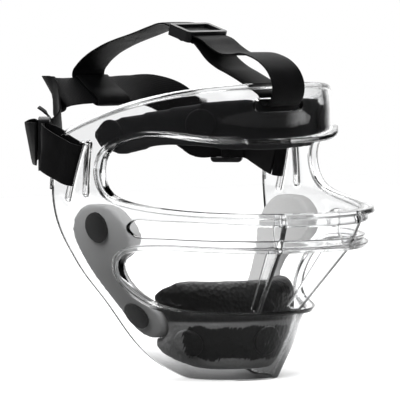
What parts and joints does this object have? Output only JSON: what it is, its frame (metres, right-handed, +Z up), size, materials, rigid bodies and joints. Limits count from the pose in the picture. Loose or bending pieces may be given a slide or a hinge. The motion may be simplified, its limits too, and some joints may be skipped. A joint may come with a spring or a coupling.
{
  "type": "softball face guard",
  "caption": "Clear moulded fielder's face mask with foam pads and a chin cushion on an adjustable webbing harness.",
  "frame": {"origin": "middle of the flat resting edge of the chin rim, at the front, level with the surface the guard stands on", "axes": "+Z up, -Y the way the wearer looks, +X the wearer's left"},
  "size_m": [0.1782, 0.2139, 0.206],
  "materials": {
    "clear_shell": "clear gloss",
    "black_foam": "matt fabric over foam",
    "grey_foam": "matt foam",
    "black_cushion": "knitted cover with a light sheen",
    "hook_tape": "matt hook tape",
    "webbing": "woven webbing with a light sheen",
    "slider_plastic": "satin moulded"
  },
  "bodies": {
    "guard": {"face_shell": "clear_shell", "forehead_pad": "black_foam", "forehead_dots": "hook_tape", "chin_pad": "black_cushion", "chin_dots": "hook_tape", "left_cheek_pad": "grey_foam", "left_cheek_dots": "hook_tape", "right_cheek_pad": "grey_foam", "right_cheek_dots": "hook_tape", "overhead_strap": "webbing", "overhead_return": "webbing", "back_strap": "webbing", "left_return": "webbing", "right_return": "webbing"},
    "top_adjuster": {"top_slider": "slider_plastic", "top_sewn_end": "webbing"},
    "left_adjuster": {"left_slider": "slider_plastic", "left_sewn_end": "webbing", "left_strap_tail": "webbing"},
    "right_adjuster": {"right_slider": "slider_plastic", "right_sewn_end": "webbing", "right_strap_tail": "webbing"}
  },
  "joints": [
    {"name": "top_adjust", "type": "slide", "parent": "guard", "child": "top_adjuster", "axis": [0, -0.9659, -0.2588], "range_m": [-0.006, 0.006], "deforming": ["overhead_return"]},
    {"name": "left_adjust", "type": "slide", "parent": "guard", "child": "left_adjuster", "axis": [0.6691, -0.7431, 0], "range_m": [-0.006, 0.006], "deforming": ["left_return"]},
    {"name": "right_adjust", "type": "slide", "parent": "guard", "child": "right_adjuster", "axis": [-0.6691, -0.7431, 0], "range_m": [-0.006, 0.006], "deforming": ["right_return"]}
  ]
}
